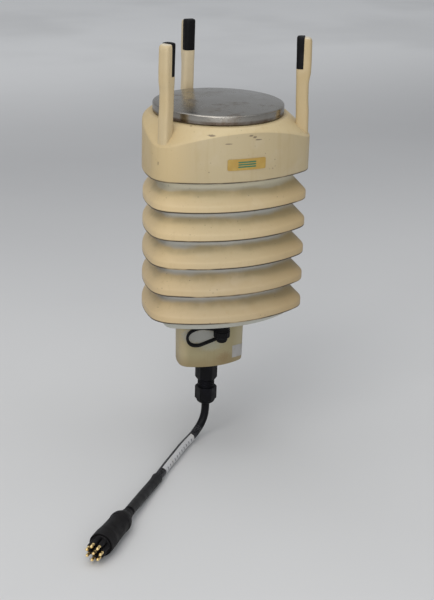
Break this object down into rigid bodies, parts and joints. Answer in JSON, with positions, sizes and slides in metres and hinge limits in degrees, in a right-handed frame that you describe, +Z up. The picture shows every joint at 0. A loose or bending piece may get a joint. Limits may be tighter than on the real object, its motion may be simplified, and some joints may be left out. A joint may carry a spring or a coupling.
{
  "type": "ultrasonic weather transmitter",
  "caption": "All-in-one weather sensor head for a mast: upright ultrasonic wind arms, steel rain disc, louvred radiation shield, mast collar, tethered service cap and short plug-ended lead.",
  "frame": {"origin": "on the sensor head's vertical axis, level with the lower end of the mast collar", "axes": "+Z up along the sensor head's axis towards the tips of the wind arms; -Y is the side with the name plate; one wind arm stands at +Y"},
  "size_m": [0.2058, 0.2216, 0.2999],
  "materials": {
    "cream_plastic": "sun-yellowed cream moulded polycarbonate, satin, lightly scuffed",
    "olive_plastic": "yellowed moulded polycarbonate, darker and greener than the plates",
    "grey_plastic": "grey-white moulded plastic",
    "black_plastic": "black moulded nylon, satin",
    "black_rubber": "black rubber and cable jacket, soft sheen",
    "transducer_black": "black silicone transducer face",
    "rain_steel": "spun stainless steel, weathered with brown stains",
    "bright_steel": "plain stainless steel",
    "contact_gold": "gold-plated contacts",
    "board_green": "green circuit board",
    "name_plate": "gold-coloured foil plate with a plain green motif",
    "clear_sleeve": "clear shrink film over a pale label",
    "white_label": "white printed label stock, blank",
    "white_membrane": "white sintered filter membrane"
  },
  "bodies": {
    "root": {"top_housing": "cream_plastic", "louver_1": "cream_plastic", "louver_2": "cream_plastic", "louver_3": "cream_plastic", "louver_4": "cream_plastic", "louver_5": "cream_plastic", "arm_back": "cream_plastic", "arm_left": "cream_plastic", "arm_right": "cream_plastic", "mast_collar": "olive_plastic", "base_housing": "grey_plastic", "base_cover": "grey_plastic", "top_plate": "grey_plastic", "ptu_module": "grey_plastic", "rain_sensor_carrier": "grey_plastic", "terminal_block": "grey_plastic", "ribbon_cable": "grey_plastic", "service_port": "black_plastic", "gland_body": "black_plastic", "gland_locknut": "black_plastic", "transducer_back": "transducer_black", "transducer_left": "transducer_black", "transducer_right": "transducer_black", "disc_gasket": "black_rubber", "collar_gasket": "black_rubber", "cap_strap": "black_rubber", "gland_seal_ring": "black_rubber", "piezo_foam_pad": "black_rubber", "cable": "black_rubber", "cable_tail": "black_rubber", "cable_shrink_sleeve": "black_rubber", "connector_boot": "black_rubber", "contact_insert": "black_rubber", "rain_disc": "rain_steel", "rain_piezo": "bright_steel", "board_shield": "bright_steel", "board_standoff_1": "bright_steel", "board_standoff_2": "bright_steel", "board_standoff_3": "bright_steel", "tie_screw_1": "bright_steel", "tie_screw_2": "bright_steel", "tie_screw_3": "bright_steel", "contact_pin_1": "contact_gold", "contact_pin_2": "contact_gold", "contact_pin_3": "contact_gold", "contact_pin_4": "contact_gold", "contact_pin_5": "contact_gold", "contact_pin_6": "contact_gold", "contact_pin_7": "contact_gold", "contact_pin_8": "contact_gold", "main_board": "board_green", "terminal_board": "board_green", "name_plate": "name_plate", "cable_label_sleeve": "clear_sleeve", "ptu_filter_cap": "white_membrane"},
    "cap_carrier": {"strap_swivel": "black_rubber"},
    "cap": {"service_cap": "black_plastic"},
    "gland_carrier": {"gland_clamp_insert": "black_rubber"},
    "gland_top": {"gland_nut": "black_plastic"}
  },
  "joints": [
    {"name": "cap_travel", "type": "slide", "parent": "root", "child": "cap_carrier", "axis": [0, 0, -1], "range_m": [0, 0.003], "deforming": ["cap_strap"]},
    {"name": "cap_turn", "type": "hinge", "parent": "cap_carrier", "child": "cap", "pos_m": [-0.0056, -0.03, 0.0274], "axis": [0, 0, -1], "range_deg": [0, 1080]},
    {"name": "gland_travel", "type": "slide", "parent": "root", "child": "gland_carrier", "axis": [0, 0, -1], "range_m": [0, 0.003]},
    {"name": "gland_turn", "type": "hinge", "parent": "gland_carrier", "child": "gland_top", "pos_m": [-0.0069, -0.0068, -0.0202], "axis": [0, 0, -1], "range_deg": [0, 720]}
  ],
  "couplings": [
    {"joint": "cap_turn", "follows": "cap_travel", "rad_per_m": 6283.2},
    {"joint": "gland_turn", "follows": "gland_travel", "rad_per_m": 4188.8}
  ]
}
